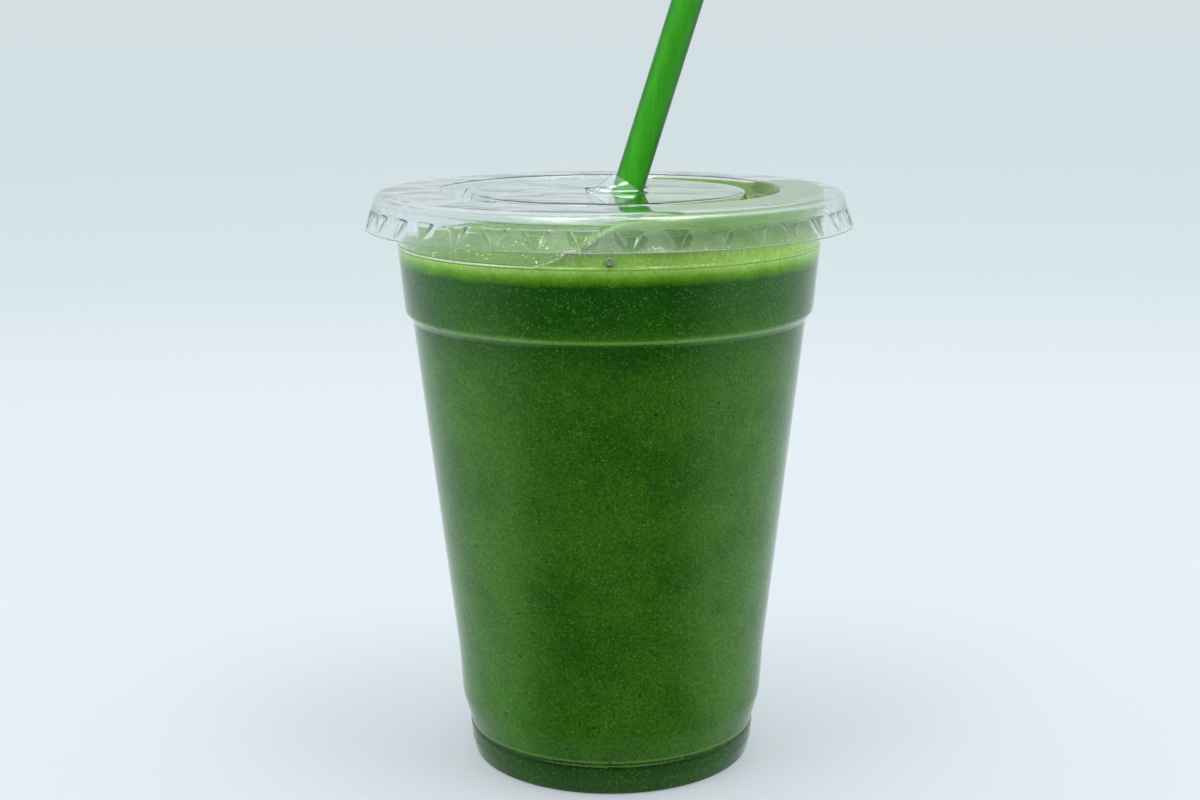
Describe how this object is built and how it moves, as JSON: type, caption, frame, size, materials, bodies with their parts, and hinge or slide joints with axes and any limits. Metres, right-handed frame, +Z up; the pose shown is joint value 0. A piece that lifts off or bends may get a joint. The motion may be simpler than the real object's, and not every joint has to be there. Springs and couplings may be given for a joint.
{
  "type": "green smoothie",
  "caption": "Green smoothie in a clear tapered cup with a stepped collar, a flat clear lid with a fluted skirt and cross cut, and a leaning green straw.",
  "frame": {"origin": "middle of the cup's foot, on the surface that it stands on", "axes": "+Z up the cup's axis, and the straw leans towards +X"},
  "size_m": [0.102, 0.102, 0.2126],
  "materials": {
    "clear_plastic": "clear, glossy",
    "green_plastic": "glossy, slightly see-through",
    "smoothie": "wet, opaque, fine foam"
  },
  "bodies": {
    "root": {"cup": "clear_plastic", "lid": "clear_plastic", "straw": "green_plastic", "smoothie": "smoothie"}
  },
  "joints": []
}
